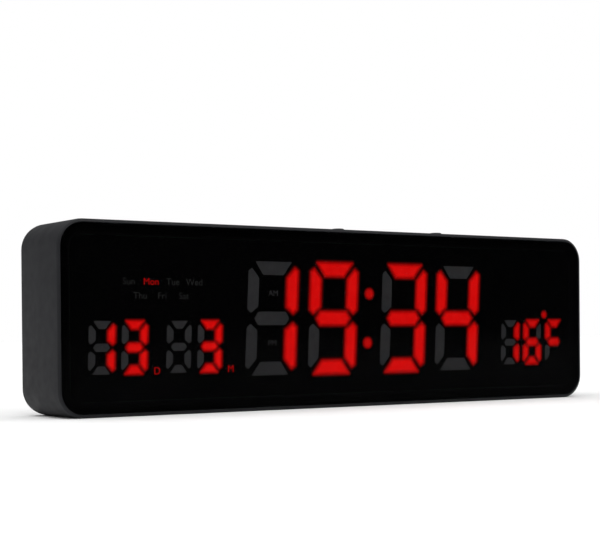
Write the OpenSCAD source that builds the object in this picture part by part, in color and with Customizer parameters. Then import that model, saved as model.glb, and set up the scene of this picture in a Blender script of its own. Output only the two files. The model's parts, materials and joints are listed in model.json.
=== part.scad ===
// Digital LED calendar timer in a slim rounded case. It shows the time, the day and month,
// the weekday and the temperature behind a smoked lens, and stands on its flat base or hangs
// on two screws. Millimetres, +Z up. The front faces -Y. The origin is under the middle of
// the case, on the surface that it stands on.

/* [Case] */
// Width of the case
case_w = 360; // [358:1:400]
// Height of the case
case_h = 100; // [98:1:112]
// Depth of the case, front rim to back cover
case_d = 46.5; // [44:0.5:54]
// Radius of the case's corners
corner_r = 14; // [13:0.5:15]
// Thickness of the case's walls
wall = 2.5; // [2.3:0.1:2.8]
// Radius of the rounded front rim
rim_round = 1.4; // [1:0.1:1.9]

/* [Time digits] */
// Height of a time digit
time_h = 62; // [50:1:64]
// Width of a time digit
time_w = 32.3; // [28:0.1:33]
// Width of a time digit's strokes
time_stroke = 7.4; // [6:0.1:8]
// Distance between the two digits of a pair
time_pitch = 40.9; // [40:0.1:42]
// Distance between the middles of the hour pair and the minute pair
time_pair_gap = 91; // [90:0.1:94]
// Place of the time's middle across the case
time_x = 13.4; // [12:0.1:14]
// Angle that the time digits lean to the right
time_lean = 3; // [0:0.1:4]

/* [Small digits] */
// Height of a date or temperature digit
small_h = 27.2; // [24:0.1:28]
// Width of a date or temperature digit
small_w = 14.8; // [14:0.1:16]
// Width of a small digit's strokes
small_stroke = 4.2; // [3.5:0.1:4.4]
// Distance between two small digits
small_pitch = 18.5; // [17.8:0.1:18.6]
// Height of the small digits' middle above the case's middle
small_z = -14.8; // [-16:0.1:-14.5]
// Angle that the small digits lean to the right
small_lean = 2; // [0:0.1:3]

/* [Reading shown] */
// Hour on the display
shown_hour = 19; // [0:1:23]
// Minute on the display
shown_minute = 34; // [0:1:59]
// Day of the month on the display
shown_day = 13; // [1:1:31]
// Month on the display
shown_month = 3; // [1:1:12]
// Temperature on the display
shown_temperature = 16; // [0:1:99]

/* [Buttons] */
// Distance between the two buttons
button_pitch = 73; // [72:1:74]
// Diameter of a button
button_d = 7.4; // [7:0.1:7.6]
// How far a button stands above the case
button_proud = 2; // [1.5:0.1:2.5]

/* [Back] */
// Distance between the two keyholes
keyhole_pitch = 200; // [190:1:205]
// Diameter of a keyhole's entry
keyhole_d = 9; // [8:0.5:10]
// Number of ventilation slots in each of the two groups
vent_count = 8; // [2:1:8]

/* [Hidden] */
$fn = 64;

// Depths behind the front rim, from the lens back to the cover
lens_front = 0.1;
lens_back = lens_front + 2;
ledge_front = lens_back + 0.5;
ledge_back = ledge_front + 2;
mask_front = ledge_front + 0.2;
mask_back = mask_front + 0.6;
diffuser_front = mask_front + 0.1;
diffuser_back = mask_back + 2;
board_front = 11;
board_back = board_front + 1.6;
column_end = case_d - 5;
housing_end = case_d - 2.3;
cover_front = case_d - 2;

// Insets of the outlines inside the case's own outline
seam = 0.3;
rebate_inset = rim_round + 0.3;
lens_inset = rebate_inset + 0.2;
ledge_w = 5;
window_inset = wall + ledge_w;
board_inset = wall + 3;
rim_steps = 4;
cover_bevel = 0.8;

// Overlap between shapes that are joined, and the gap round the dots in the mask
fuse = 0.5;
dot_gap = 0.05;

// The display's characters, as places across the case
time_xs = [for (pair = [-1, 1], place = [-1, 1])
    time_x + pair * time_pair_gap / 2 + place * time_pitch / 2];
day_x = -145.8;
month_x = -101.3;
temperature_x = 140.4;
day_xs = [for (place = [-1, 1]) day_x + place * small_pitch / 2];
month_xs = [for (place = [-1, 1]) month_x + place * small_pitch / 2];
temperature_xs = [for (place = [-1, 0, 1]) temperature_x + place * small_pitch];
colon_x = 13.1;
colon_rise = 14;
colon_at = [for (z = [-colon_rise, colon_rise]) [colon_x + z * tan(time_lean), z]];
colon_dot_d = 5.4;
degree_at = [150.6, 2.2];
degree_dot_d = 3.6;

// Weekday words in two staggered rows, as middles of their windows
weekday_x = -120.2;
weekday_size = [10, 4.8];
weekday_pitch = 12.8;
weekday_at = concat(
    [for (i = [0:3]) [weekday_x + (i - 1.5) * weekday_pitch, 18.9]],
    [for (i = [0:2]) [weekday_x + (i - 1) * weekday_pitch, 11.6]]);
date_legends_at = [[-123.6, -27.3], [-79.1, -27.1]];
time_legends_at = [[-51.5, 13.6], [-52.5, -13.6]];
date_legend_size = [5, 5];
time_legend_size = [7.6, 3.8];

// Blocks that hold the light wells, each as [middle, size]
time_block = [[time_x, 0], [174, 68]];
date_block = [[-120.6, -14.9], [91, 32.5]];
temperature_block = [[temperature_x, -12.5], [58, 37]];
weekday_block = [[weekday_x, 15.25], [52, 14.4]];

// Fixings, as places seen from the front
board_boss_at = [for (x = [-168, -56, 56, 168], z = [-40, 40]) [x, z]];
column_at = [for (x = [-150, -36, 36, 150], z = [-42.5, 42.5]) [x, z]];
board_boss_r = 3.5;
board_screw_r = 1.05;
board_screw_length = 6;
board_screw_head = [2.2, 1.4];
column_r = 4;
cover_post_r = 4.5;
cover_screw_r = 1.45;
cover_screw_length = 12;
cover_screw_head = [2.8, 1.8];
screw_well_r = 3.3;
screw_seat = case_d - 3;
pilot_gap = 0.05;

// Buttons, their switches and the board under the top wall
button_x = 41;
button_y = 20 - case_d / 2;
button_xs = [for (side = [-1, 1]) button_x + side * button_pitch / 2];
button_gap = 0.3;
button_flange_r = 5.2;
button_flange_h = 1.6;
button_board_bottom = case_h - 15.6;
button_board_size = [102, 10, 1.6];
button_board_top = button_board_bottom + button_board_size[2];
button_boss_xs = [for (out = [-47, -18, 18, 47]) button_x + out];
button_boss_r = 3;
button_screw_r = 0.85;
button_screw_length = 7;
button_screw_head = [1.8, 1.3];
button_stem_r = 2;
button_bevel = 0.5;
switch_size = [6, 6, 3.5];
switch_well_d = 4.1;
plunger_d = 3.5;
plunger_bottom = button_board_top + 2;
plunger_top = button_board_top + 5;

// Keyholes, jack recess, battery well and vents in the back cover
keyhole_z = 24;
keyhole_slot_w = 4.5;
keyhole_rise = 9;
pocket_size = [17, 28];
pocket_rise = 4;
pocket_wall = 1.5;
vent_at = [60, 22];
vent_slot = [2.2, 14];
vent_pitch = 6;
sound_hole_r = 1.2;
sound_ring_r = 4.5;
jack_at = [118, -30];
jack_r = 3.95;
jack_length = 9;
jack_flange = [5.5, 1.5];
jack_bore = [2.75, 8];
jack_pin_r = 1.05;
jack_pin_proud = 0.8;
jack_nut_size = [5.8, 2.5];
jack_recess_w = 26;
jack_recess_floor = case_d - 9;
jack_recess_top = -14;
recess_wall = 1.5;
lead_notch_w = 8;
battery_at = [-60, -12];
cap_r = 12.2;
lug_r = 13;
cap_turn = 60;
coin_slot = [1.6, 15, 0.9];
well_r = 13.8;
well_floor = case_d - 8;
cell_r = 10;
cell_front = well_floor + 1.5;
cell_rim_h = 0.4;
cell_back = cell_front + 3.2;
cell_contact_w = 3;
buzzer_at = [60, -12];

// Parts on the display board
led_size = [2, 1.2];
led_spread = 0.85;
controller_at = [-20, -16];
controller_size = [13, 7.6, 2.4];
driver_at = [[-112, -14], [20, 12], [138, 10]];
driver_size = [18, 7.6, 2.4];
chip_leg = [0.5, 1.3];
crystal_at = [-38, -16];
crystal_size = [4.6, 11, 3.5];
capacitor_at = [[84, -28], [96, -28]];
capacitor_size = [4, 11.5];
capacitor_mark = [6, 0.6];
buzzer_size = [6, 9.5];
infrared_at = [104.5, 20];
infrared_size = [6, 7, 3];
infrared_lens_r = 2.4;
light_sensor_at = [104.5, -20];
light_sensor_size = [2.5, 5];
temperature_sensor_at = [-20, 28];
sensor_bead = [1.8, 3];
sensor_leg = [0.3, 9];
cell_connector_at = [-80, 4];
button_connector_at = [button_x, 22];
power_connector_at = [jack_at[0], -38];
connector_at = [cell_connector_at, button_connector_at, power_connector_at];
connector_size = [10, 5.8];
connector_h = 7;
connector_floor = 1.5;
socket_size = [8.4, 4.2];
plug_size = [8.2, 4];
plug_back = board_back + connector_h + 1;

// Wires
wire_d = 1.3;
wire_steps = 12;
wire_sides = 8;
lead_gap = 1.8;
button_lead_pitch = 1.9;
button_lead_reach = 9;

// Colours
case_color = [0.20, 0.21, 0.23];
black = [0.05, 0.05, 0.06];
lit_red = [0.90, 0.06, 0.05];
unlit_grey = [0.30, 0.30, 0.32];
white_plastic = [0.92, 0.92, 0.90];
board_green = [0.10, 0.34, 0.20];
steel = [0.72, 0.73, 0.75];
brass_yellow = [0.78, 0.66, 0.36];
lead_red = [0.75, 0.08, 0.06];
lead_white = [0.85, 0.85, 0.82];

// ---- Drawing helpers ----

// Extrudes an outline, drawn across the front, between two depths behind the front rim
module slab(front, back) {
    translate([0, back - case_d / 2, case_h / 2])
        rotate([90, 0, 0])
            linear_extrude(back - front)
                children();
}

module rounded(w, h, r) {
    square([w - 2 * r, h], center = true);
    square([w, h - 2 * r], center = true);
    for (x = [-1, 1], z = [-1, 1])
        translate([x * (w / 2 - r), z * (h / 2 - r)])
            circle(r);
}

// The case's outline, moved inwards
module case_outline(inset) {
    rounded(case_w - 2 * inset, case_h - 2 * inset, corner_r - inset);
}

// A frame between two insets of the case's outline
module case_ring(outer_inset, inner_inset) {
    difference() {
        case_outline(outer_inset);
        case_outline(inner_inset);
    }
}

module bar(size) {
    square(size, center = true);
}

module block_outline(block) {
    translate(block[0])
        rounded(block[1][0], block[1][1], 2);
}

// A plate with the case's outline whose inset changes evenly from front to back
module tapered_plate(front, back, front_inset, back_inset) {
    depth = back - front;
    front_y = front - case_d / 2;
    straight_w = case_w - 2 * corner_r;
    straight_h = case_h - 2 * corner_r;
    near_w = case_w / 2 - front_inset;
    far_w = case_w / 2 - back_inset;
    near_h = case_h / 2 - front_inset;
    far_h = case_h / 2 - back_inset;
    for (x = [-1, 1], z = [-1, 1])
        translate([x * straight_w / 2, front_y, case_h / 2 + z * straight_h / 2])
            rotate([-90, 0, 0])
                cylinder(h = depth, r1 = corner_r - front_inset, r2 = corner_r - back_inset);
    translate([-straight_w / 2, front_y, case_h / 2])
        rotate([90, 0, 90])
            linear_extrude(straight_w)
                polygon([[0, -near_h], [depth, -far_h], [depth, far_h], [0, near_h]]);
    translate([0, front_y, corner_r])
        linear_extrude(straight_h)
            polygon([[-near_w, 0], [near_w, 0], [far_w, depth], [-far_w, depth]]);
}

// A plate with the case's outline, whose inset follows a list of [depth, inset] from front to back
module profiled_plate(profile) {
    last = len(profile) - 1;
    backwards = [for (i = [last:-1:0]) profile[i]];
    straight_w = case_w - 2 * corner_r;
    straight_h = case_h - 2 * corner_r;
    for (x = [-1, 1], z = [-1, 1])
        translate([x * straight_w / 2, -case_d / 2, case_h / 2 + z * straight_h / 2])
            rotate([-90, 0, 0])
                rotate_extrude()
                    polygon(concat(
                        [[0, profile[0][0]]],
                        [for (p = profile) [corner_r - p[1], p[0]]],
                        [[0, profile[last][0]]]));
    translate([-straight_w / 2, -case_d / 2, case_h / 2])
        rotate([90, 0, 90])
            linear_extrude(straight_w)
                polygon(concat(
                    [for (p = profile) [p[0], case_h / 2 - p[1]]],
                    [for (p = backwards) [p[0], p[1] - case_h / 2]]));
    translate([0, -case_d / 2, corner_r])
        linear_extrude(straight_h)
            polygon(concat(
                [for (p = profile) [case_w / 2 - p[1], p[0]]],
                [for (p = backwards) [p[1] - case_w / 2, p[0]]]));
}

// The rounded front rim, as [depth, inset] from the face back to the straight walls
RIM_PROFILE = [for (i = [0:rim_steps])
    let (angle = 90 * i / rim_steps)
    [rim_round * (1 - cos(angle)), rim_round * (1 - sin(angle))]];

// A round bar along Y between two depths, at a place across the front
module post(at, r, front, back) {
    slab(front, back)
        translate(at)
            circle(r);
}

// A screw that points to the front. Its head, as [radius, height], has its underside at the seat
module screw(at, shaft_r, length, seat, head) {
    head_back = seat + head[1];
    cross = [head[0] * 1.2, head[0] * 0.3];
    difference() {
        union() {
            post(at, shaft_r, seat - length, seat);
            post(at, head[0], seat, head_back);
        }
        slab(head_back - head[1] / 2, head_back)
            translate(at) {
                bar(cross);
                bar([cross[1], cross[0]]);
            }
    }
}

// ---- Seven-segment characters ----

// Segments lit for each digit: a is the top, then clockwise b to f, and g is the middle
DIGIT_SEGMENTS = [
    "abcdef", "bc", "abged", "abgcd", "fgbc", "afgcd", "afgedc", "abc", "abcdefg", "abcdfg"];
ALL_SEGMENTS = "abcdefg";
BLANK = "";
UNIT_PRESENT = "aefg";
UNIT_LIT = "afg";

function has(letters, letter) = len(search(letter, letters)) > 0;
function tens(n) = DIGIT_SEGMENTS[floor(n / 10)];
function tens_or_blank(n) = n < 10 ? BLANK : tens(n);
function units(n) = DIGIT_SEGMENTS[n % 10];
function leaned(point, angle) = [point[0] + point[1] * tan(angle), point[1]];
function flipped(points, x, y) = [for (p = points) [p[0] * x, p[1] * y]];

// Outlines of strokes in a character of half-width a and half-height b with strokes s wide
function end_stroke(a, b, s) = [
    [0.56 * s - a, b], [a - 0.56 * s, b], [a - 1.29 * s, b - s], [1.29 * s - a, b - s]];
function side_stroke(a, b, s) = [
    [-a, 0.68 * s], [-a, b - 0.7 * s], [0.3 * s - a, b - 0.48 * s],
    [0.96 * s - a, b - 1.22 * s], [0.96 * s - a, 0.87 * s], [0.33 * s - a, 0.385 * s]];
function middle_stroke(a, s) = [
    [0.64 * s - a, 0], [0.98 * s - a, s / 2], [a - 0.98 * s, s / 2],
    [a - 0.64 * s, 0], [a - 0.98 * s, -s / 2], [0.98 * s - a, -s / 2]];

function stroke_outline(letter, a, b, s) =
    letter == "a" ? end_stroke(a, b, s) :
    letter == "d" ? flipped(end_stroke(a, b, s), 1, -1) :
    letter == "f" ? side_stroke(a, b, s) :
    letter == "b" ? flipped(side_stroke(a, b, s), -1, 1) :
    letter == "e" ? flipped(side_stroke(a, b, s), 1, -1) :
    letter == "c" ? flipped(side_stroke(a, b, s), -1, -1) :
    middle_stroke(a, s);

// The middle of a stroke, a from the character's middle sideways and b up or down at most
function stroke_middle(letter, a, b) =
    letter == "a" ? [0, b] :
    letter == "b" ? [a, b / 2] :
    letter == "c" ? [a, -b / 2] :
    letter == "d" ? [0, -b] :
    letter == "e" ? [-a, -b / 2] :
    letter == "f" ? [-a, b / 2] :
    [0, 0];

// A character's width, height, stroke width and lean
TIME_SIZE = [time_w, time_h, time_stroke, time_lean];
SMALL_SIZE = [small_w, small_h, small_stroke, small_lean];

// The strokes of one character that are in its lit letters, or the ones that aren't
module character(present, letters, want_lit, size) {
    for (letter = present)
        if (has(letters, letter) == want_lit)
            polygon([for (p = stroke_outline(letter, size[0] / 2, size[1] / 2, size[2]))
                leaned(p, size[3])]);
}

module time_strokes(want_lit) {
    letters = [tens(shown_hour), units(shown_hour), tens(shown_minute), units(shown_minute)];
    for (i = [0:3])
        translate([time_xs[i], 0])
            character(ALL_SEGMENTS, letters[i], want_lit, TIME_SIZE);
}

module date_strokes(want_lit) {
    xs = concat(day_xs, month_xs);
    letters = [
        tens_or_blank(shown_day), units(shown_day), tens_or_blank(shown_month), units(shown_month)];
    for (i = [0:3])
        translate([xs[i], small_z])
            character(ALL_SEGMENTS, letters[i], want_lit, SMALL_SIZE);
}

module temperature_strokes(want_lit) {
    present = [ALL_SEGMENTS, ALL_SEGMENTS, UNIT_PRESENT];
    letters = [tens_or_blank(shown_temperature), units(shown_temperature), UNIT_LIT];
    for (i = [0:2])
        translate([temperature_xs[i], small_z])
            character(present[i], letters[i], want_lit, SMALL_SIZE);
}

module colon_outline(gap) {
    for (at = colon_at)
        translate(at)
            circle(d = colon_dot_d + 2 * gap);
}

module degree_outline(gap) {
    translate(degree_at)
        circle(d = degree_dot_d + 2 * gap);
}

module bars_at(places, size) {
    for (p = places)
        translate(p)
            rounded(size[0], size[1], 1);
}

// ---- Case ----

module button_bores() {
    for (x = button_xs)
        translate([x, button_y, case_h - wall - 1])
            cylinder(h = wall + 2, d = button_d + 2 * button_gap);
}

// Bosses under the top wall that the button board is screwed to
module button_board_bosses() {
    boss_h = case_h - wall - button_board_top;
    for (x = button_boss_xs)
        translate([x, button_y, button_board_top])
            difference() {
                cylinder(h = boss_h + fuse, r = button_boss_r);
                translate([0, 0, -1])
                    cylinder(h = button_screw_length + 1, r = button_screw_r + pilot_gap);
            }
}

// Ribs that tie each screw column to the nearest long wall
module column_webs() {
    for (at = column_at)
        slab(ledge_back - fuse, column_end)
            translate([at[0], sign(at[1]) * (case_h / 2 - wall - fuse)])
                bar([2, 4]);
}

module housing_shell() {
    difference() {
        profiled_plate(concat(RIM_PROFILE, [[housing_end, 0]]));
        slab(-1, ledge_front)
            case_outline(rebate_inset);
        slab(-1, case_d)
            case_outline(wall);
    }
}

module front_housing() {
    color(case_color)
        difference() {
            union() {
                housing_shell();
                slab(ledge_front, ledge_back)
                    case_ring(wall - fuse, window_inset);
                for (at = board_boss_at)
                    post(at, board_boss_r, ledge_back - fuse, board_front);
                for (at = column_at)
                    post(at, column_r, ledge_back - fuse, column_end);
                column_webs();
                button_board_bosses();
            }
            for (at = board_boss_at)
                post(at, board_screw_r + pilot_gap, ledge_back + 0.7, board_front + 1);
            for (at = column_at)
                post(at, cover_screw_r + pilot_gap, column_end - 14, column_end + 1);
            button_bores();
            slab(housing_end - 7, case_d)
                translate([jack_at[0], -case_h / 2])
                    bar([lead_notch_w, 2 * wall + 1]);
        }
}

module front_lens() {
    color([0.03, 0.03, 0.04, 0.5])
        slab(lens_front, lens_back)
            case_outline(lens_inset);
}

module lens_tape() {
    color(black)
        slab(lens_back, ledge_front)
            case_ring(wall + 0.5, wall + 4);
}

// The opening for the power plug, from the recess's top edge down past the case's bottom
module jack_cutout() {
    translate([jack_at[0], jack_recess_top - case_h / 2])
        bar([jack_recess_w, case_h]);
}

// Keyhole seen from the back: a round entry with a slot above it
module keyhole_outline() {
    circle(d = keyhole_d);
    translate([0, keyhole_rise / 2])
        bar([keyhole_slot_w, keyhole_rise]);
    translate([0, keyhole_rise])
        circle(d = keyhole_slot_w);
}

module at_keyholes() {
    for (x = [-1, 1])
        translate([x * keyhole_pitch / 2, keyhole_z])
            children();
}

module vent_slots() {
    for (side = [-1, 1], i = [0:vent_count - 1])
        translate([side * vent_at[0] + (i - (vent_count - 1) / 2) * vent_pitch, vent_at[1]]) {
            bar(vent_slot);
            for (end = [-1, 1])
                translate([0, end * vent_slot[1] / 2])
                    circle(d = vent_slot[0]);
        }
}

module sound_holes() {
    translate(buzzer_at) {
        circle(r = sound_hole_r);
        for (turn = [0:60:300])
            rotate(turn)
                translate([sound_ring_r, 0])
                    circle(r = sound_hole_r);
    }
}

// Two opposite wedges of a disc, turned by the given angle
module wedges(r, half_angle, turn) {
    rotate(turn)
        intersection() {
            circle(r);
            for (side = [-1, 1])
                polygon([[0, 0], [side * 2 * r, -2 * r * tan(half_angle)],
                         [side * 2 * r, 2 * r * tan(half_angle)]]);
        }
}

module jack_recess_walls() {
    recess_h = jack_recess_top + case_h / 2 - wall - 0.4;
    middle = [jack_at[0], jack_recess_top - recess_h / 2];
    slab(jack_recess_floor - recess_wall, cover_front + fuse)
        difference() {
            translate(middle + [0, recess_wall / 2])
                bar([jack_recess_w + 2 * recess_wall, recess_h + recess_wall]);
            translate(middle - [0, 1])
                bar([jack_recess_w, recess_h + 2]);
        }
    slab(jack_recess_floor - recess_wall, jack_recess_floor)
        difference() {
            translate(middle)
                bar([jack_recess_w + 2, recess_h]);
            translate(jack_at)
                circle(r = jack_r + 0.15);
        }
}

// The pocket behind each keyhole, or the room inside it when its walls are taken off
module keyhole_pockets(inset) {
    at_keyholes()
        translate([0, pocket_rise])
            rounded(pocket_size[0] - 2 * inset, pocket_size[1] - 2 * inset, 2 - inset / 2);
}

module cover_plate() {
    difference() {
        union() {
            slab(cover_front, case_d - cover_bevel)
                case_outline(seam);
            tapered_plate(case_d - cover_bevel, case_d, seam, seam + cover_bevel);
            slab(column_end, cover_front + fuse)
                case_ring(wall + seam, wall + seam + 1.6);
        }
        slab(column_end - 1, case_d + 1)
            jack_cutout();
    }
}

module rear_cover() {
    color(case_color)
        difference() {
            union() {
                cover_plate();
                for (at = column_at)
                    post(at, cover_post_r, column_end, cover_front + fuse);
                slab(cover_front - 4.5, cover_front + fuse)
                    keyhole_pockets(0);
                post(battery_at, well_r + pocket_wall, well_floor - pocket_wall, cover_front + fuse);
                jack_recess_walls();
            }
            slab(cover_front - 3, cover_front)
                keyhole_pockets(pocket_wall);
            slab(cover_front - 1, case_d + 1) {
                at_keyholes()
                    keyhole_outline();
                vent_slots();
                sound_holes();
                translate(battery_at) {
                    circle(cap_r + 0.3);
                    wedges(lug_r + 0.3, 15, -cap_turn);
                }
            }
            post(battery_at, cell_r + 0.4, well_floor, case_d);
            post(battery_at, well_r, cell_back - 1, cover_front);
            for (at = column_at) {
                post(at, screw_well_r, screw_seat, case_d + 1);
                post(at, cover_screw_r + 0.25, column_end - 1, case_d);
            }
        }
}

module cover_screws() {
    color(steel)
        for (at = column_at)
            screw(at, cover_screw_r, cover_screw_length, screw_seat, cover_screw_head);
}

// ---- Display stack ----

module segment_mask() {
    color(black)
        slab(mask_front, mask_back)
            difference() {
                case_outline(window_inset + 0.5);
                for (want_lit = [true, false]) {
                    time_strokes(want_lit);
                    date_strokes(want_lit);
                    temperature_strokes(want_lit);
                }
                colon_outline(dot_gap);
                degree_outline(dot_gap);
            }
}

module diffuser_slab() {
    slab(diffuser_front, diffuser_back)
        children();
}

module time_segments_lit() {
    color(lit_red)
        diffuser_slab()
            time_strokes(true);
}

module time_segments_unlit() {
    color(unlit_grey)
        diffuser_slab()
            time_strokes(false);
}

module date_segments_lit() {
    color(lit_red)
        diffuser_slab()
            date_strokes(true);
}

module date_segments_unlit() {
    color(unlit_grey)
        diffuser_slab()
            date_strokes(false);
}

module temperature_segments_lit() {
    color(lit_red)
        diffuser_slab()
            temperature_strokes(true);
}

module temperature_segments_unlit() {
    color(unlit_grey)
        diffuser_slab()
            temperature_strokes(false);
}

module indicator_dots() {
    color(lit_red)
        diffuser_slab() {
            colon_outline(0);
            degree_outline(0);
        }
}

module weekday_diffusers() {
    color(unlit_grey)
        slab(mask_back, diffuser_back)
            bars_at(weekday_at, weekday_size);
}

module legend_diffusers() {
    color(unlit_grey)
        slab(mask_back, diffuser_back) {
            bars_at(date_legends_at, date_legend_size);
            bars_at(time_legends_at, time_legend_size);
        }
}

module time_reflector() {
    color(white_plastic)
        slab(mask_back, board_front)
            difference() {
                block_outline(time_block);
                time_strokes(true);
                time_strokes(false);
                colon_outline(dot_gap);
                bars_at(time_legends_at, time_legend_size);
            }
}

module date_reflector() {
    color(white_plastic)
        slab(mask_back, board_front)
            difference() {
                block_outline(date_block);
                date_strokes(true);
                date_strokes(false);
                bars_at(date_legends_at, date_legend_size);
            }
}

module temperature_reflector() {
    color(white_plastic)
        slab(mask_back, board_front)
            difference() {
                block_outline(temperature_block);
                temperature_strokes(true);
                temperature_strokes(false);
                degree_outline(dot_gap);
            }
}

module weekday_reflector() {
    color(white_plastic)
        slab(mask_back, board_front)
            difference() {
                block_outline(weekday_block);
                bars_at(weekday_at, weekday_size);
            }
}

// ---- Display board and the parts on it ----

module display_board() {
    color(board_green)
        slab(board_front, board_back)
            difference() {
                case_outline(board_inset);
                for (at = board_boss_at)
                    translate(at)
                        circle(r = board_screw_r + 0.25);
                for (at = column_at)
                    translate([at[0], at[1] + sign(at[1]) * 2])
                        bar([2 * column_r + 1.5, 2 * column_r + 5.5]);
            }
}

module board_screws() {
    color(steel)
        for (at = board_boss_at)
            screw(at, board_screw_r, board_screw_length, board_back, board_screw_head);
}

// Light chips under one character, a few along every stroke that it has
module character_leds(present, size, count) {
    a = (size[0] - size[2]) / 2;
    b = (size[1] - size[2]) / 2;
    step = led_spread * (size[1] / 2 - size[2]) / count;
    for (letter = present, i = [0:count - 1]) {
        along = (i - (count - 1) / 2) * step;
        flat = has("adg", letter);
        offset_along = flat ? [0.7 * along, 0] : [0, along];
        translate(leaned(stroke_middle(letter, a, b) + offset_along, size[3]))
            bar(flat ? led_size : [led_size[1], led_size[0]]);
    }
}

module display_leds() {
    color([0.95, 0.93, 0.80])
        slab(board_front - 0.8, board_front) {
            for (x = time_xs)
                translate([x, 0])
                    character_leds(ALL_SEGMENTS, TIME_SIZE, 3);
            for (x = concat(day_xs, month_xs, [temperature_xs[0], temperature_xs[1]]))
                translate([x, small_z])
                    character_leds(ALL_SEGMENTS, SMALL_SIZE, 2);
            translate([temperature_xs[2], small_z])
                character_leds(UNIT_PRESENT, SMALL_SIZE, 2);
            for (p = concat(weekday_at, date_legends_at, time_legends_at, colon_at, [degree_at]))
                translate(p)
                    bar(led_size);
        }
}

// A chip package behind the board, with a row of legs down each long side
module chip(at, size, legs) {
    slab(board_back + 0.1, board_back + size[2])
        translate(at)
            bar([size[0], size[1]]);
    for (side = [-1, 1], i = [0:legs - 1])
        slab(board_back, board_back + size[2] / 2)
            translate(at + [(i - (legs - 1) / 2) * (size[0] - 1) / legs, side * (size[1] / 2 + 0.6)])
                bar(chip_leg);
}

module clock_controller() {
    color(black)
        chip(controller_at, controller_size, 12);
}

module segment_drivers() {
    color(black)
        for (at = driver_at)
            chip(at, driver_size, 14);
}

module timing_crystal() {
    color(steel)
        slab(board_back, board_back + crystal_size[2])
            translate(crystal_at)
                rounded(crystal_size[0], crystal_size[1], 2.2);
}

module power_capacitors() {
    top = board_back + capacitor_size[1];
    color([0.16, 0.18, 0.30])
        for (at = capacitor_at)
            difference() {
                post(at, capacitor_size[0], board_back, top);
                slab(top - 0.3, top + 1)
                    translate(at) {
                        bar(capacitor_mark);
                        bar([capacitor_mark[1], capacitor_mark[0]]);
                    }
            }
}

module buzzer() {
    top = board_back + buzzer_size[1];
    color(black)
        difference() {
            post(buzzer_at, buzzer_size[0], board_back, top);
            post(buzzer_at, 1, top - 1.5, top + 1);
        }
}

module infrared_receiver() {
    color(black) {
        slab(board_front - infrared_size[2], board_front)
            translate(infrared_at)
                bar([infrared_size[0], infrared_size[1]]);
        translate(place(infrared_at + [0, 0.5], board_front - infrared_size[2]))
            intersection() {
                sphere(r = infrared_lens_r);
                translate([-3, -3, -3])
                    cube([6, 3, 6]);
            }
    }
}

module light_sensor() {
    color([0.75, 0.77, 0.80])
        post(light_sensor_at, light_sensor_size[0], board_front - light_sensor_size[1], board_front);
}

module temperature_sensor() {
    bead_front = board_back + sensor_leg[1];
    color([0.10, 0.12, 0.30])
        post(temperature_sensor_at, sensor_bead[0], bead_front, bead_front + sensor_bead[1]);
    color(steel)
        for (side = [-1, 1])
            post(temperature_sensor_at + [side, 0], sensor_leg[0], board_back, bead_front);
}

module board_connectors() {
    color(white_plastic)
        for (at = connector_at)
            difference() {
                slab(board_back, board_back + connector_h)
                    translate(at)
                        bar(connector_size);
                slab(board_back + connector_floor, board_back + connector_h + 1)
                    translate(at)
                        bar(socket_size);
            }
}

// The plugs on the wires' ends, seated in the connectors
module harness_plugs() {
    color(white_plastic)
        for (at = connector_at)
            slab(board_back + connector_floor + 0.1, plug_back)
                translate(at)
                    bar(plug_size);
}

// ---- Buttons ----

module button_board() {
    color(board_green)
        translate([0, 0, button_board_bottom])
            difference() {
                translate([button_x - button_board_size[0] / 2, button_y - button_board_size[1] / 2, 0])
                    cube(button_board_size);
                for (x = button_boss_xs)
                    translate([x, button_y, -1])
                        cylinder(h = 4, r = 1.1);
            }
}

module button_switches() {
    color(black)
        for (x = button_xs)
            translate([x, button_y, button_board_top])
                difference() {
                    translate([-switch_size[0] / 2, -switch_size[1] / 2, 0])
                        cube(switch_size);
                    translate([0, 0, 1])
                        cylinder(h = 4, d = switch_well_d);
                }
}

module button_board_screws() {
    color(steel)
        for (x = button_boss_xs)
            translate([x, button_y, button_board_bottom])
                difference() {
                    union() {
                        cylinder(h = button_screw_length, r = button_screw_r);
                        translate([0, 0, -button_screw_head[1]])
                            cylinder(h = button_screw_head[1], r = button_screw_head[0]);
                    }
                    translate([-1.2, -0.25, -1.8])
                        cube([2.4, 0.5, 1]);
                }
}

// A round key: a bevelled cap through the top wall, a flange under it and a stem to the switch
module button(x) {
    key_r = button_d / 2;
    top = case_h + button_proud;
    flange_top = case_h - wall - button_gap;
    flange_bottom = flange_top - button_flange_h;
    translate([x, button_y, 0])
        rotate_extrude()
            polygon([
                [0, plunger_top], [button_stem_r, plunger_top], [button_stem_r, flange_bottom],
                [button_flange_r, flange_bottom], [button_flange_r, flange_top],
                [key_r, flange_top], [key_r, top - button_bevel], [key_r - button_bevel, top],
                [0, top]]);
}

module plunger(x) {
    translate([x, button_y, plunger_bottom])
        cylinder(h = plunger_top - plunger_bottom, d = plunger_d);
}

module set_button() {
    color(case_color)
        button(button_xs[0]);
}

module adjust_button() {
    color(case_color)
        button(button_xs[1]);
}

module set_plunger() {
    color(steel)
        plunger(button_xs[0]);
}

module adjust_plunger() {
    color(steel)
        plunger(button_xs[1]);
}

// ---- Backup cell ----

module battery_cap() {
    color(case_color)
        difference() {
            union() {
                post(battery_at, cap_r, cover_front, case_d);
                post(battery_at, cap_r - 1, cell_back + 0.2, cover_front);
                slab(cell_back + 0.2, cover_front - 0.3)
                    translate(battery_at) {
                        wedges(lug_r, 12, 0);
                        circle(cap_r - 1.5);
                    }
            }
            slab(case_d - coin_slot[2], case_d + 1)
                translate(battery_at)
                    bar([coin_slot[0], coin_slot[1]]);
        }
}

module coin_cell() {
    color(steel) {
        post(battery_at, cell_r - 1.2, cell_front, cell_front + cell_rim_h);
        post(battery_at, cell_r, cell_front + cell_rim_h, cell_back);
    }
}

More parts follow.
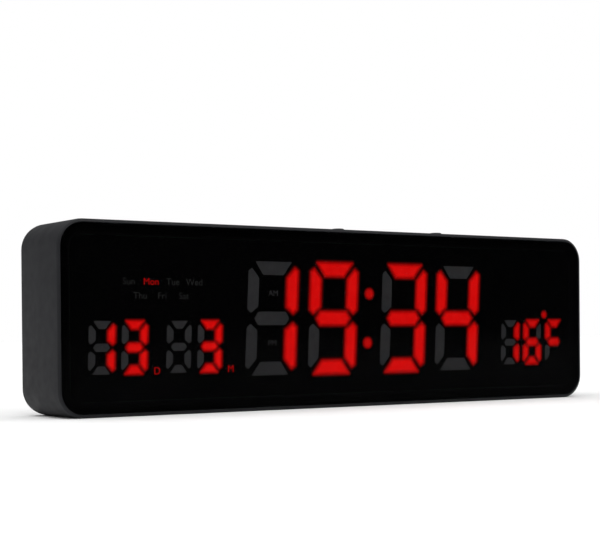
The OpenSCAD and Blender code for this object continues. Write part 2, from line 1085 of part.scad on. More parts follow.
// The contact under the cell, from the floor of the well to the cell's face
module cell_contact_minus() {
    color(brass_yellow)
        slab(well_floor, cell_front)
            translate(battery_at)
                bar([12, cell_contact_w]);
}

module cell_contact_plus() {
    color(brass_yellow)
        slab(well_floor, cell_front + 2)
            translate(battery_at + [cell_r + 0.15, 0])
                bar([0.2, cell_contact_w]);
}

// ---- Power inlet ----

module dc_jack() {
    color(black)
        difference() {
            union() {
                post(jack_at, jack_flange[0], jack_recess_floor, jack_recess_floor + jack_flange[1]);
                post(jack_at, jack_r, jack_recess_floor - jack_length, jack_recess_floor + fuse);
            }
            post(jack_at, jack_bore[0], jack_recess_floor - jack_bore[1], jack_recess_floor + 2);
        }
}

module jack_pin() {
    color(steel)
        post(jack_at, jack_pin_r, jack_recess_floor - jack_bore[1], jack_recess_floor + jack_pin_proud);
}

module jack_nut() {
    nut_back = jack_recess_floor - recess_wall;
    color(steel)
        slab(nut_back - jack_nut_size[1], nut_back)
            translate(jack_at)
                difference() {
                    circle(r = jack_nut_size[0], $fn = 6);
                    circle(r = jack_r + pilot_gap);
                }
}

// ---- Wires ----

function bezier(p, t) =
    p[0] * pow(1 - t, 3) + p[1] * 3 * t * pow(1 - t, 2) + p[2] * 3 * t * t * (1 - t) + p[3] * pow(t, 3);
function bezier_slope(p, t) =
    (p[1] - p[0]) * pow(1 - t, 2) + (p[2] - p[1]) * 2 * t * (1 - t) + (p[3] - p[2]) * t * t;
function unit(v) = v / norm(v);
function wire_ring(at, along) =
    let (u = unit(cross(along, [1, 0.1, 0.2])), v = cross(unit(along), u))
    [for (i = [0:wire_sides - 1])
        at + (cos(i * 360 / wire_sides) * u + sin(i * 360 / wire_sides) * v) * wire_d / 2];

// A flexible wire along a curve with four control points
module wire(p) {
    n = wire_sides;
    last = wire_steps;
    points = [for (i = [0:last], q = wire_ring(bezier(p, i / last), bezier_slope(p, i / last))) q];
    sides = [for (i = [0:last - 1], k = [0:n - 1])
        [i * n + k, i * n + (k + 1) % n, (i + 1) * n + (k + 1) % n, (i + 1) * n + k]];
    polyhedron(points, concat(
        [[for (k = [n - 1:-1:0]) k]], sides, [[for (k = [0:n - 1]) last * n + k]]));
}

function place(at, depth) = [at[0], depth - case_d / 2, at[1] + case_h / 2];

// Two leads from a plug on the display board to the face of a part nearer the back cover
module twin_lead(from, to, end_depth) {
    reach = (end_depth - plug_back) / 2;
    for (side = [-1, 1]) {
        start = from + [side * lead_gap, 0];
        end = to + [side * lead_gap, 0];
        color(side < 0 ? lead_red : black)
            wire([
                place(start, plug_back), place(start, plug_back + reach),
                place(end, end_depth - reach), place(end, end_depth)]);
    }
}

module power_harness() {
    twin_lead(power_connector_at, jack_at, jack_recess_floor - jack_length);
}

module cell_harness() {
    twin_lead(cell_connector_at, battery_at, well_floor - pocket_wall);
}

// Four leads from the display board up to the underside of the button board
module button_harness() {
    for (i = [-1.5:1:1.5]) {
        x = button_connector_at[0] + i * button_lead_pitch;
        start = [x, button_connector_at[1]];
        color(lead_white)
            wire([
                place(start, plug_back), place(start, plug_back + button_lead_reach),
                [x, button_y, button_board_bottom - button_lead_reach],
                [x, button_y, button_board_bottom]]);
    }
}

front_housing();
front_lens();
lens_tape();
segment_mask();
time_segments_lit();
time_segments_unlit();
date_segments_lit();
date_segments_unlit();
temperature_segments_lit();
temperature_segments_unlit();
indicator_dots();
weekday_diffusers();
legend_diffusers();
time_reflector();
date_reflector();
temperature_reflector();
weekday_reflector();
display_board();
display_leds();
clock_controller();
segment_drivers();
timing_crystal();
power_capacitors();
buzzer();
infrared_receiver();
light_sensor();
temperature_sensor();
board_connectors();
harness_plugs();
board_screws();
button_board();
button_switches();
button_board_screws();
set_button();
adjust_button();
set_plunger();
adjust_plunger();
rear_cover();
cover_screws();
battery_cap();
coin_cell();
cell_contact_plus();
cell_contact_minus();
dc_jack();
jack_pin();
jack_nut();
power_harness();
button_harness();
cell_harness();
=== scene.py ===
"""Looks of the LED calendar timer: materials, copies of the outer parts with rounded edges, painted glow
round the lit strokes and painted shade along their edges, and legends, on a pale floor in soft studio
light."""

import json
import math

import bmesh
import bpy
from mathutils import Matrix, Vector


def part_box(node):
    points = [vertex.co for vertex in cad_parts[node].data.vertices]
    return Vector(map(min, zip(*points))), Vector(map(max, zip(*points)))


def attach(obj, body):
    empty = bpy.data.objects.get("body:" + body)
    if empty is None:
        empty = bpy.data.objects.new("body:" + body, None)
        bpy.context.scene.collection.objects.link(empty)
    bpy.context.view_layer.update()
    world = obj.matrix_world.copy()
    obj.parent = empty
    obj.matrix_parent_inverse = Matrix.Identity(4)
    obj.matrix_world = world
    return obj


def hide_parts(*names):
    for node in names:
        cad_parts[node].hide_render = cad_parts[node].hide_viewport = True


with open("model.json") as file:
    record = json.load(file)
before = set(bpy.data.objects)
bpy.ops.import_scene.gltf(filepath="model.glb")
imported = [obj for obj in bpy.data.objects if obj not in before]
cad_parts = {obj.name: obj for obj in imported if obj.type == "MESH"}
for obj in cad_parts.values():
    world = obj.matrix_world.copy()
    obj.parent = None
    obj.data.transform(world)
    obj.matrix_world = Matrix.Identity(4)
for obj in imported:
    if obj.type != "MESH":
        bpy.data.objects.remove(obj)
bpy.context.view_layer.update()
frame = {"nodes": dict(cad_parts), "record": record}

MM = 0.001
ROOT = "case"

# Vertices of a CAD mesh nearer than this are one vertex
WELD = 0.002 * MM

# Each CAD node's material slot and body
SLOT_OF = {row["node"]: row["material_slot"] for row in frame["record"]["subparts"]}
BODY_OF = {n: body for body, names in frame["record"]["behaviour"]["bodies"].items() for n in names}

# The camera's place is measured from the front and the middle height of the case
case_low, case_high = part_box("front_housing")
front_y = case_low.y
middle_z = (case_low.z + case_high.z) / 2


# ---- Materials ----

# Nearly all of a noise pattern's values lie between these
PATTERN_LOW, PATTERN_HIGH = 0.3, 0.7


def shader(name, **values):
    """A node material with one Principled shader, whose sockets are set by name, with _ for a space."""
    material = bpy.data.materials.new(name)
    material.use_nodes = True
    principled = material.node_tree.nodes["Principled BSDF"]
    for socket, value in values.items():
        principled.inputs[socket.replace("_", " ")].default_value = value
    return material, material.node_tree, principled


def add_noise(tree, size_mm, detail=3.0, stretch=(1, 1, 1)):
    """A noise pattern in object space whose features are about size_mm across. Returns its value output."""
    place = tree.nodes.new("ShaderNodeTexCoord")
    scale = tree.nodes.new("ShaderNodeMapping")
    scale.inputs["Scale"].default_value = stretch
    pattern = tree.nodes.new("ShaderNodeTexNoise")
    pattern.inputs["Scale"].default_value = 1 / (size_mm * MM)
    pattern.inputs["Detail"].default_value = detail
    tree.links.new(place.outputs["Object"], scale.inputs["Vector"])
    tree.links.new(scale.outputs["Vector"], pattern.inputs["Vector"])
    return pattern.outputs["Fac"]


def ramp(tree, value, low, high):
    """Turns a pattern's value into a colour between low and high."""
    spread = tree.nodes.new("ShaderNodeValToRGB")
    first, last = spread.color_ramp.elements
    first.position, last.position = PATTERN_LOW, PATTERN_HIGH
    first.color, last.color = (*low, 1), (*high, 1)
    tree.links.new(value, spread.inputs["Fac"])
    return spread.outputs["Color"]


def map_range(tree, value, low, high):
    """Stretches a pattern's value to low..high."""
    stretch = tree.nodes.new("ShaderNodeMapRange")
    stretch.inputs["From Min"].default_value = PATTERN_LOW
    stretch.inputs["From Max"].default_value = PATTERN_HIGH
    stretch.inputs["To Min"].default_value = low
    stretch.inputs["To Max"].default_value = high
    tree.links.new(value, stretch.inputs["Value"])
    return stretch.outputs["Result"]


def add_bump(tree, principled, height, depth_mm, strength=1.0):
    """Raises the surface by a height pattern, on top of any bump already there."""
    bump = tree.nodes.new("ShaderNodeBump")
    bump.inputs["Strength"].default_value = strength
    bump.inputs["Distance"].default_value = depth_mm * MM
    tree.links.new(height, bump.inputs["Height"])
    before = principled.inputs["Normal"].links
    if before:
        tree.links.new(before[0].from_socket, bump.inputs["Normal"])
    tree.links.new(bump.outputs["Normal"], principled.inputs["Normal"])


def worn_edges(tree, colour, worn, radius_mm):
    """Mixes a worn colour in along sharp edges, where a rounded normal leaves the true one."""
    unworn_likeness, most_worn_likeness, most_cover = 0.995, 0.86, 0.7
    rounded = tree.nodes.new("ShaderNodeBevel")
    rounded.samples = 4
    rounded.inputs["Radius"].default_value = radius_mm * MM
    true = tree.nodes.new("ShaderNodeNewGeometry")
    alike = tree.nodes.new("ShaderNodeVectorMath")
    alike.operation = "DOT_PRODUCT"
    tree.links.new(rounded.outputs["Normal"], alike.inputs[0])
    tree.links.new(true.outputs["Normal"], alike.inputs[1])
    edge = tree.nodes.new("ShaderNodeMapRange")
    edge.inputs["From Min"].default_value = unworn_likeness
    edge.inputs["From Max"].default_value = most_worn_likeness
    edge.inputs["To Max"].default_value = most_cover
    tree.links.new(alike.outputs["Value"], edge.inputs["Value"])
    mix = tree.nodes.new("ShaderNodeMix")
    mix.data_type = "RGBA"
    mix.inputs["B"].default_value = (*worn, 1)
    tree.links.new(edge.outputs["Result"], mix.inputs["Factor"])
    tree.links.new(colour, mix.inputs["A"])
    return mix.outputs["Result"]


def moulded_plastic(name, low, high, grain_mm=0.35, grain_depth=0.012, roughness=(0.48, 0.6)):
    """Spark-textured moulded plastic: fine grain, faint flow mottling and slightly polished edges."""
    material, tree, principled = shader(name, Specular_IOR_Level=0.14)
    colour = ramp(tree, add_noise(tree, 18, detail=4), low, high)
    polished = [min(1.0, c * 1.35 + 0.004) for c in high]
    tree.links.new(worn_edges(tree, colour, polished, 0.6), principled.inputs["Base Color"])
    tree.links.new(map_range(tree, add_noise(tree, 6), *roughness), principled.inputs["Roughness"])
    add_bump(tree, principled, add_noise(tree, grain_mm, detail=2), grain_depth)
    add_bump(tree, principled, add_noise(tree, 25, detail=1), 0.05, 0.4)
    return material


def plain_resin(name, low, high, roughness=(0.3, 0.45)):
    """A moulded or coated small part: mottled colour, uneven gloss and a faint grain."""
    material, tree, principled = shader(name)
    tree.links.new(ramp(tree, add_noise(tree, 3), low, high), principled.inputs["Base Color"])
    tree.links.new(map_range(tree, add_noise(tree, 1.5), *roughness), principled.inputs["Roughness"])
    add_bump(tree, principled, add_noise(tree, 0.5), 0.01)
    return material


def turned_metal(name, low, high, roughness=(0.25, 0.42)):
    """Plated metal with fine machining lines across it."""
    material, tree, principled = shader(name, Metallic=1.0)
    lines = add_noise(tree, 1.2, detail=3, stretch=(1, 14, 1))
    tree.links.new(ramp(tree, lines, low, high), principled.inputs["Base Color"])
    tree.links.new(map_range(tree, lines, *roughness), principled.inputs["Roughness"])
    add_bump(tree, principled, lines, 0.006)
    return material


def smoked_lens():
    """Smoked acrylic: dark, see-through and polished, with faint waviness and uneven gloss."""
    material, tree, principled = shader(
        "smoked_lens", Base_Color=(0.001, 0.001, 0.0011, 1), Alpha=0.5, Specular_IOR_Level=0.015)
    tree.links.new(map_range(tree, add_noise(tree, 9), 0.02, 0.07), principled.inputs["Roughness"])
    add_bump(tree, principled, add_noise(tree, 45, detail=1), 0.02, 0.3)
    return material


def printed_film():
    """Black printed film: matte, with the faint mottle of screen ink."""
    material, tree, principled = shader("mask_film", Specular_IOR_Level=0.1)
    ink = add_noise(tree, 0.8)
    colour = ramp(tree, ink, (0.0010, 0.0010, 0.0011), (0.0022, 0.0022, 0.0024))
    tree.links.new(colour, principled.inputs["Base Color"])
    tree.links.new(map_range(tree, ink, 0.7, 0.85), principled.inputs["Roughness"])
    return material


def lit_diffuser(name, strength):
    """Milky resin lit red from behind, a little unevenly."""
    material, tree, principled = shader(
        name, Base_Color=(0.05, 0.004, 0.004, 1), Roughness=0.6, Specular_IOR_Level=0.1,
        Emission_Strength=strength)
    glow = ramp(tree, add_noise(tree, 5, detail=1), (0.88, 0.003, 0.003), (0.98, 0.006, 0.005))
    tree.links.new(glow, principled.inputs["Emission Color"])
    return material


def unlit_diffuser(name, low, high):
    """Milky resin with no light behind it: grey, with the cloudiness of its filler."""
    material, tree, principled = shader(name, Specular_IOR_Level=0.1)
    tree.links.new(ramp(tree, add_noise(tree, 4), low, high), principled.inputs["Base Color"])
    tree.links.new(map_range(tree, add_noise(tree, 2), 0.5, 0.65), principled.inputs["Roughness"])
    return material


def circuit_board():
    """Green solder mask over copper tracks, which show as a lighter, slightly raised pattern."""
    material, tree, principled = shader("board_laminate")
    place = tree.nodes.new("ShaderNodeTexCoord")
    turn = tree.nodes.new("ShaderNodeMapping")
    turn.inputs["Rotation"].default_value = (math.pi / 2, 0, 0)
    tracks = tree.nodes.new("ShaderNodeTexBrick")
    tracks.inputs["Scale"].default_value = 60
    tracks.inputs["Mortar Size"].default_value = 0.03
    tracks.inputs["Color1"].default_value = (0.010, 0.075, 0.032, 1)
    tracks.inputs["Color2"].default_value = (0.012, 0.085, 0.038, 1)
    tracks.inputs["Mortar"].default_value = (0.035, 0.17, 0.07, 1)
    tree.links.new(place.outputs["Object"], turn.inputs["Vector"])
    tree.links.new(turn.outputs["Vector"], tracks.inputs["Vector"])
    tree.links.new(tracks.outputs["Color"], principled.inputs["Base Color"])
    tree.links.new(map_range(tree, add_noise(tree, 2), 0.25, 0.4), principled.inputs["Roughness"])
    add_bump(tree, principled, tracks.outputs["Fac"], 0.03)
    return material


def foam():
    """Closed-cell foam tape with open pores along its cut edge."""
    material, tree, principled = shader("foam_tape", Roughness=0.95, Specular_IOR_Level=0.05)
    cells = tree.nodes.new("ShaderNodeTexVoronoi")
    place = tree.nodes.new("ShaderNodeTexCoord")
    cells.inputs["Scale"].default_value = 3000
    tree.links.new(place.outputs["Object"], cells.inputs["Vector"])
    tree.links.new(
        ramp(tree, cells.outputs["Distance"], (0.0015, 0.0015, 0.0015), (0.006, 0.006, 0.006)),
        principled.inputs["Base Color"])
    add_bump(tree, principled, cells.outputs["Distance"], 0.05)
    return material


def painted_light_film(name, power, most, **values):
    """Painted-light film, a dark sheet whose cover falls from most, where its glow attribute is 1, to none
    where that is 0; it carries the painted glow round the lit strokes and the painted shade along their
    edges.
    """
    material, tree, principled = shader(
        name, Base_Color=(0.0015, 0.0015, 0.0016, 1), Roughness=0.8, Specular_IOR_Level=0.1, **values)
    near = tree.nodes.new("ShaderNodeAttribute")
    near.attribute_name = "glow"
    fade = tree.nodes.new("ShaderNodeMath")
    fade.operation = "POWER"
    fade.inputs[1].default_value = power
    cover = tree.nodes.new("ShaderNodeMath")
    cover.operation = "MULTIPLY"
    cover.inputs[1].default_value = most
    tree.links.new(near.outputs["Fac"], fade.inputs[0])
    tree.links.new(fade.outputs["Value"], cover.inputs[0])
    tree.links.new(cover.outputs["Value"], principled.inputs["Alpha"])
    tree.links.new(map_range(tree, add_noise(tree, 2), 0.7, 0.9), principled.inputs["Roughness"])
    return material, tree, principled


def painted_halo_glow():
    """Painted glow: a clear film round a lit stroke that glows red, standing in for the red light that
    bleeds from the stroke and fades outwards.
    """
    material, tree, principled = painted_light_film("painted_halo_glow", 2.6, 1.0, Emission_Strength=1.5)
    tree.links.new(
        ramp(tree, add_noise(tree, 5, detail=1), (0.85, 0.004, 0.004), (1.0, 0.006, 0.006)),
        principled.inputs["Emission Color"])
    return material


MATERIALS = {
    "case_plastic": moulded_plastic("case_plastic", (0.0130, 0.0134, 0.0152), (0.0168, 0.0172, 0.0195)),
    "button_plastic": moulded_plastic(
        "button_plastic", (0.0120, 0.0124, 0.0142), (0.0155, 0.0160, 0.0180), 0.25, 0.006, (0.35, 0.45)),
    "smoked_lens": smoked_lens(),
    "foam_tape": foam(),
    "mask_film": printed_film(),
    "segment_lit": lit_diffuser("segment_lit", 2.5),
    "segment_unlit": unlit_diffuser("segment_unlit", (0.33, 0.33, 0.345), (0.39, 0.39, 0.405)),
    "white_plastic": plain_resin("white_plastic", (0.74, 0.74, 0.72), (0.82, 0.82, 0.80), (0.4, 0.55)),
    "board_laminate": circuit_board(),
    "led_chip": plain_resin("led_chip", (0.70, 0.62, 0.36), (0.80, 0.74, 0.50), (0.15, 0.3)),
    "chip_plastic": plain_resin("chip_plastic", (0.014, 0.014, 0.015), (0.024, 0.024, 0.026), (0.4, 0.55)),
    "capacitor_sleeve": plain_resin("capacitor_sleeve", (0.015, 0.020, 0.07), (0.022, 0.028, 0.09)),
    "sensor_lens": plain_resin("sensor_lens", (0.45, 0.47, 0.50), (0.55, 0.57, 0.60), (0.05, 0.15)),
    "plunger_plastic": plain_resin("plunger_plastic", (0.50, 0.45, 0.37), (0.58, 0.53, 0.45)),
    "steel": turned_metal("steel", (0.52, 0.52, 0.53), (0.66, 0.66, 0.67)),
    "black_screw": turned_metal("black_screw", (0.025, 0.025, 0.027), (0.055, 0.055, 0.06), (0.35, 0.5)),
    "contact_metal": turned_metal("contact_metal", (0.62, 0.50, 0.26), (0.76, 0.64, 0.38)),
    "wire_sleeve": plain_resin("wire_sleeve", (0.38, 0.03, 0.025), (0.48, 0.06, 0.05), (0.3, 0.4)),
}

# Nodes whose light is weaker than the rest of their slot
DIMMER = {
    "temperature_segments_lit": lit_diffuser("segment_lit_temperature", 2.0),
    "indicator_dots": lit_diffuser("segment_lit_dots", 1.7),
}
# Painted glow round the lit strokes, drawn as emission on a film in front of the mask
PAINTED_HALO_GLOW = painted_halo_glow()
# Painted shade: a dark film over the inner edges of the lit strokes, dimming them towards their outlines
PAINTED_RIM_SHADE = painted_light_film("painted_rim_shade", 2.0, 0.5)[0]
LEGEND_LIT = lit_diffuser("legend_lit", 1.3)
LEGEND_UNLIT = unlit_diffuser("legend_unlit", (0.20, 0.21, 0.205), (0.25, 0.26, 0.255))


# ---- CAD nodes and their rounded copies ----

# Faces that meet at less than the first angle are one face, and edges past the second are rounded
FLAT, SHARP = math.radians(0.5), math.radians(32)


def paint_nodes():
    """Gives every CAD node the material of its slot."""
    for name, piece in frame["nodes"].items():
        material = DIMMER.get(name, MATERIALS[SLOT_OF[name]])
        if not piece.material_slots:
            piece.data.materials.append(material)
        for held in piece.material_slots:
            held.material = material


def new_piece(name, mesh, body):
    """A visible piece that rides on a body."""
    piece = bpy.data.objects.new(name, mesh)
    bpy.context.scene.collection.objects.link(piece)
    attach(piece, body)
    return piece


def clean_copy(node):
    """The node's mesh joined up and with its flat faces merged, so that only real edges are left."""
    bm = bmesh.new()
    bm.from_mesh(frame["nodes"][node].data)
    bmesh.ops.remove_doubles(bm, verts=bm.verts, dist=WELD)
    bmesh.ops.dissolve_limit(
        bm, angle_limit=FLAT, verts=bm.verts, edges=bm.edges, use_dissolve_boundaries=False)
    bmesh.ops.recalc_face_normals(bm, faces=bm.faces)
    mesh = bpy.data.meshes.new(node + "_moulded")
    bm.to_mesh(mesh)
    bm.free()
    for spare in ("custom_normal", "sharp_face", "sharp_edge"):
        if spare in mesh.attributes:
            mesh.attributes.remove(mesh.attributes[spare])
    return mesh


def soften(node, radius_mm, segments=3):
    """Stands in for a CAD node with a copy whose sharp edges are rounded to radius_mm."""
    piece = new_piece(node + "_moulded", clean_copy(node), BODY_OF[node])
    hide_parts(node)
    bevel = piece.modifiers.new("round_edges", "BEVEL")
    bevel.width = radius_mm * MM
    bevel.segments = segments
    bevel.limit_method = "ANGLE"
    bevel.angle_limit = SHARP
    bevel.use_clamp_overlap = False
    bevel.harden_normals = True
    bevel.miter_outer = "MITER_ARC"
    piece.data.materials.append(MATERIALS[SLOT_OF[node]])
    graph = bpy.context.evaluated_depsgraph_get()
    rounded = bpy.data.meshes.new_from_object(piece.evaluated_get(graph))
    piece.modifiers.clear()
    piece.data = rounded
    for face in rounded.polygons:
        face.use_smooth = True


# ---- Painted glow round the lit strokes, and painted shade along their edges ----

# A stroke's few corners are rounded by this many steps, and a disc's many points by one
STROKE_CORNER_STEPS = 4
FEWEST_DISC_POINTS = 12

# The painted glow and painted shade films' nearest distances in front of the mask and the strokes
HALO_LIFT = 0.02 * MM
RIM_LIFT = 0.07 * MM

# Neighbouring rings overlap, so they lie on layers this far apart
LAYERS = 4
LAYER_STEP = 0.01 * MM


def front_outlines(node):
    """The outline of each front face of a node, as lists of (x, z) points in order."""
    bm = bmesh.new()
    bm.from_mesh(frame["nodes"][node].data)
    bmesh.ops.remove_doubles(bm, verts=bm.verts, dist=WELD)
    front = min(v.co.y for v in bm.verts)
    behind_front = front + 0.05 * MM
    back_faces = [f for f in bm.faces if any(v.co.y > behind_front for v in f.verts)]
    bmesh.ops.delete(bm, geom=back_faces, context="FACES")
    bmesh.ops.dissolve_limit(bm, angle_limit=math.radians(1), verts=bm.verts, edges=bm.edges)
    outlines = [[(v.co.x, v.co.z) for v in f.verts] for f in bm.faces]
    bm.free()
    return front, outlines


def counter_clockwise(points):
    """The same outline, run counter-clockwise."""
    area = sum(a[0] * b[1] - b[0] * a[1] for a, b in zip(points, points[1:] + points[:1]))
    return points if area > 0 else points[::-1]


def outward(points):
    """Each side's outward direction, for an outline that runs counter-clockwise."""
    sides = [after - point for point, after in zip(points, points[1:] + points[:1])]
    return [Vector((side.y, -side.x)).normalized() for side in sides]


def outer_edge(points, width):
    """Pairs of points on an outline and outside it, with round corners."""
    pairs, out_of = [], outward(points)
    corner_steps = STROKE_CORNER_STEPS if len(points) < FEWEST_DISC_POINTS else 1
    for i, point in enumerate(points):
        for k in range(corner_steps + 1):
            way = out_of[i - 1].lerp(out_of[i], k / corner_steps).normalized()
            pairs.append((point, point + way * width))
    return pairs


def inner_edge(points, width):
    """Pairs of points on an outline and inside it, where its sides moved inwards meet."""
    pairs, out_of = [], outward(points)
    for i, point in enumerate(points):
        both = out_of[i - 1] + out_of[i]
        pairs.append((point, point - both * (width / (1 + out_of[i - 1].dot(out_of[i])))))
    return pairs


def ring(bm, glow, pairs, y):
    """A flat ring between pairs of points, whose glow falls from 1 on the outline to 0."""
    made = []
    for near, far in pairs:
        a = bm.verts.new((near.x, y, near.y))
        b = bm.verts.new((far.x, y, far.y))
        a[glow], b[glow] = 1.0, 0.0
        made.append((a, b))
    for (a, b), (c, d) in zip(made, made[1:] + made[:1]):
        faces_front = (b.co - a.co).cross(c.co - a.co).y < 0
        bm.faces.new((a, b, d, c) if faces_front else (a, c, d, b))


def rings(node, suffix, edge_of, width_mm, material, lift):
    """A ring along each front outline of a node, in front of the mask, as one piece."""
    front, outlines = front_outlines(node)
    mask_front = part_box("segment_mask")[0].y
    nearest = min(front, mask_front) - lift
    bm = bmesh.new()
    glow = bm.verts.layers.float.new("glow")
    for i, outline in enumerate(outlines):
        points = [Vector(p) for p in counter_clockwise(outline)]
        ring(bm, glow, edge_of(points, width_mm * MM), nearest - i % LAYERS * LAYER_STEP)
    bmesh.ops.remove_doubles(bm, verts=bm.verts, dist=LAYER_STEP / 20)
    mesh = bpy.data.meshes.new(node + suffix)
    bm.to_mesh(mesh)
    bm.free()
    mesh.materials.append(material)
    new_piece(node + suffix, mesh, ROOT)


def glow_at(node, halo_mm, rim_mm):
    """Painted glow that spreads outside a node's strokes, and painted shade that dims the rim inside them.
    """
    rings(node, "_halo", outer_edge, halo_mm, PAINTED_HALO_GLOW, HALO_LIFT)
    rings(node, "_rim", inner_edge, rim_mm, PAINTED_RIM_SHADE, RIM_LIFT)


# ---- Printed legends ----

# The font's size for capitals one unit high
SIZE_FOR_HEIGHT = 1.4


def legend(name, words, at, height_mm, material):
    """Words in a plain sans face, printed on the front of the mask film, as one thin mesh."""
    thickness, lift = 0.05 * MM, 0.02 * MM
    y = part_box("segment_mask")[0].y - lift
    parts = []
    for word, (x, z) in zip(words, at):
        curve = bpy.data.curves.new(name + "_" + word, "FONT")
        curve.body = word
        curve.align_x, curve.align_y = "CENTER", "CENTER"
        curve.size = height_mm * MM * SIZE_FOR_HEIGHT
        curve.extrude = thickness / 2
        curve.resolution_u = 4
        holder = bpy.data.objects.new(name + "_" + word, curve)
        bpy.context.scene.collection.objects.link(holder)
        graph = bpy.context.evaluated_depsgraph_get()
        mesh = bpy.data.meshes.new_from_object(holder.evaluated_get(graph))
        mesh.transform(Matrix.Translation((x, y, z)) @ Matrix.Rotation(math.pi / 2, 4, "X"))
        bpy.data.objects.remove(holder)
        parts.append(mesh)
    bm = bmesh.new()
    for mesh in parts:
        bm.from_mesh(mesh)
    bmesh.ops.remove_doubles(bm, verts=bm.verts, dist=WELD / 2)
    joined = bpy.data.meshes.new(name)
    bm.to_mesh(joined)
    bm.free()
    joined.materials.append(material)
    new_piece(name, joined, ROOT)


def bar_middles(node):
    """Middles of a node's separate bars, each as (x, z), from the top row down and left to right."""
    bm = bmesh.new()
    bm.from_mesh(frame["nodes"][node].data)
    bmesh.ops.remove_doubles(bm, verts=bm.verts, dist=WELD)
    unvisited, middles = set(bm.verts), []
    while unvisited:
        stack, island = [unvisited.pop()], []
        while stack:
            v = stack.pop()
            island.append(v.co)
            for edge in v.link_edges:
                other = edge.other_vert(v)
                if other in unvisited:
                    unvisited.remove(other)
                    stack.append(other)
        xs, zs = [c.x for c in island], [c.z for c in island]
        middles.append(((min(xs) + max(xs)) / 2, (min(zs) + max(zs)) / 2))
    bm.free()
    return sorted(middles, key=lambda m: (-round(m[1] / MM), m[0]))


# ---- Stage ----


def make_camera():
    """A long lens to the left of the case, a little below its middle, with its frame shifted up."""
    yaw, pitch, roll = 0.5949, -0.0065, 0.0086
    left_of_middle, before_front, below_middle = 0.46648, 0.63594, 0.00888
    data = bpy.data.cameras.new("camera")
    data.sensor_width = 36
    data.lens = 83.69
    data.shift_y = 0.1091
    camera = bpy.data.objects.new("camera", data)
    bpy.context.scene.collection.objects.link(camera)
    up = Vector((0, 0, 1))
    forward = Vector((math.sin(yaw), math.cos(yaw), 0))
    right = Vector((math.cos(yaw), -math.sin(yaw), 0))
    look = forward * math.cos(pitch) + up * math.sin(pitch)
    top = up * math.cos(pitch) - forward * math.sin(pitch)
    right_rolled = right * math.cos(roll) - top * math.sin(roll)
    top_rolled = right * math.sin(roll) + top * math.cos(roll)
    turn = Matrix((right_rolled, top_rolled, -look)).transposed()
    stand = Vector((-left_of_middle, front_y - before_front, middle_z - below_middle))
    camera.matrix_world = Matrix.Translation(stand) @ turn.to_4x4()
    bpy.context.scene.camera = camera


def make_floor():
    """A plain pale floor that reaches well past the picture."""
    mesh = bpy.data.meshes.new("floor")
    reach = 8.0
    corners = [(-reach, -reach, 0), (reach, -reach, 0), (reach, reach, 0), (-reach, reach, 0)]
    mesh.from_pydata(corners, [], [(0, 1, 2, 3)])
    material, tree, principled = shader("floor_paper", Roughness=0.9, Specular_IOR_Level=0.0)
    tree.links.new(ramp(tree, add_noise(tree, 30), (0.93, 0.93, 0.93), (0.95, 0.95, 0.95)),
                   principled.inputs["Base Color"])
    mesh.materials.append(material)
    floor = bpy.data.objects.new("floor", mesh)
    bpy.context.scene.collection.objects.link(floor)


def soft_sun(name, towards, strength, spread_deg):
    """Even light from one side of the sky, as from a very large softbox."""
    data = bpy.data.lights.new(name, "SUN")
    data.energy = strength
    data.angle = math.radians(spread_deg)
    lamp = bpy.data.objects.new(name, data)
    lamp.rotation_mode = "QUATERNION"
    lamp.rotation_quaternion = Vector(towards).to_track_quat("-Z", "Y")
    bpy.context.scene.collection.objects.link(lamp)


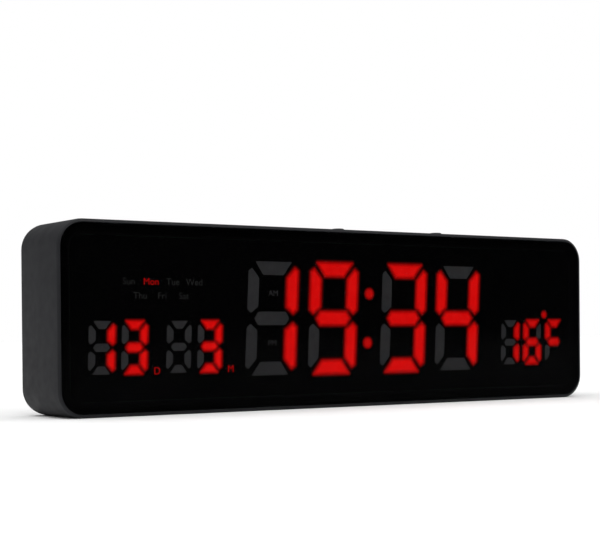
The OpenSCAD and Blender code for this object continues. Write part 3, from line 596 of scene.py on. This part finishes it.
def make_light():
    """Big soft lights above and to the left, a bright backdrop, and nothing bright in front to reflect."""
    dark_up_to, bright_from, brightest = -0.45, 0.1, 0.35
    soft_sun("top_light", (0.15, 0.25, -1), 3.0, 95)
    soft_sun("left_light", (1, 0.15, -0.35), 0.15, 90)
    world = bpy.data.worlds.new("studio")
    bpy.context.scene.world = world
    world.use_nodes = True
    tree = world.node_tree
    fill = tree.nodes["Background"]
    fill.inputs["Color"].default_value = (1, 1, 1, 1)
    place = tree.nodes.new("ShaderNodeTexCoord")
    split = tree.nodes.new("ShaderNodeSeparateXYZ")
    shade = tree.nodes.new("ShaderNodeMapRange")
    shade.inputs["From Min"].default_value = dark_up_to
    shade.inputs["From Max"].default_value = bright_from
    shade.inputs["To Min"].default_value = 0.0
    shade.inputs["To Max"].default_value = brightest
    tree.links.new(place.outputs["Generated"], split.inputs["Vector"])
    tree.links.new(split.outputs["Y"], shade.inputs["Value"])
    tree.links.new(shade.outputs["Result"], fill.inputs["Strength"])
    backdrop = tree.nodes.new("ShaderNodeBackground")
    backdrop.inputs["Color"].default_value = (1, 1, 1, 1)
    path = tree.nodes.new("ShaderNodeLightPath")
    choose = tree.nodes.new("ShaderNodeMixShader")
    tree.links.new(path.outputs["Is Camera Ray"], choose.inputs["Fac"])
    tree.links.new(fill.outputs["Background"], choose.inputs[1])
    tree.links.new(backdrop.outputs["Background"], choose.inputs[2])
    tree.links.new(choose.outputs["Shader"], tree.nodes["World Output"].inputs["Surface"])


paint_nodes()

soften("front_housing", 0.3)
soften("front_lens", 0.15)
soften("battery_cap", 0.3)
soften("dc_jack", 0.2)
soften("cover_screws", 0.12)
soften("set_button", 0.35, 4)
soften("adjust_button", 0.35, 4)

# Painted glow round each lit node's strokes, and painted shade along their inner edges
glow_at("time_segments_lit", 2.4, 1.8)
glow_at("date_segments_lit", 1.8, 1.3)
glow_at("temperature_segments_lit", 1.8, 1.3)
glow_at("indicator_dots", 1.6, 1.0)

LIT, UNLIT = "segment_lit", "segment_unlit"
WEEKDAYS = ["Sun", "Mon", "Tue", "Wed", "Thu", "Fri", "Sat"]
TODAY = 1
weekday_at = bar_middles("weekday_diffusers")
am_at, pm_at, day_at, month_at = bar_middles("legend_diffusers")

legend("weekday_words", WEEKDAYS[:TODAY] + WEEKDAYS[TODAY + 1:],
       weekday_at[:TODAY] + weekday_at[TODAY + 1:], 3.6, LEGEND_UNLIT)
legend("weekday_word_lit", [WEEKDAYS[TODAY]], [weekday_at[TODAY]], 3.6, LEGEND_LIT)
legend("date_legends", ["D", "M"], [day_at, month_at], 3.9, LEGEND_LIT)
legend("half_day_legends", ["AM", "PM"], [am_at, pm_at], 3.2, MATERIALS[UNLIT])

make_camera()
make_floor()
make_light()
bpy.context.scene.view_settings.view_transform = "Standard"
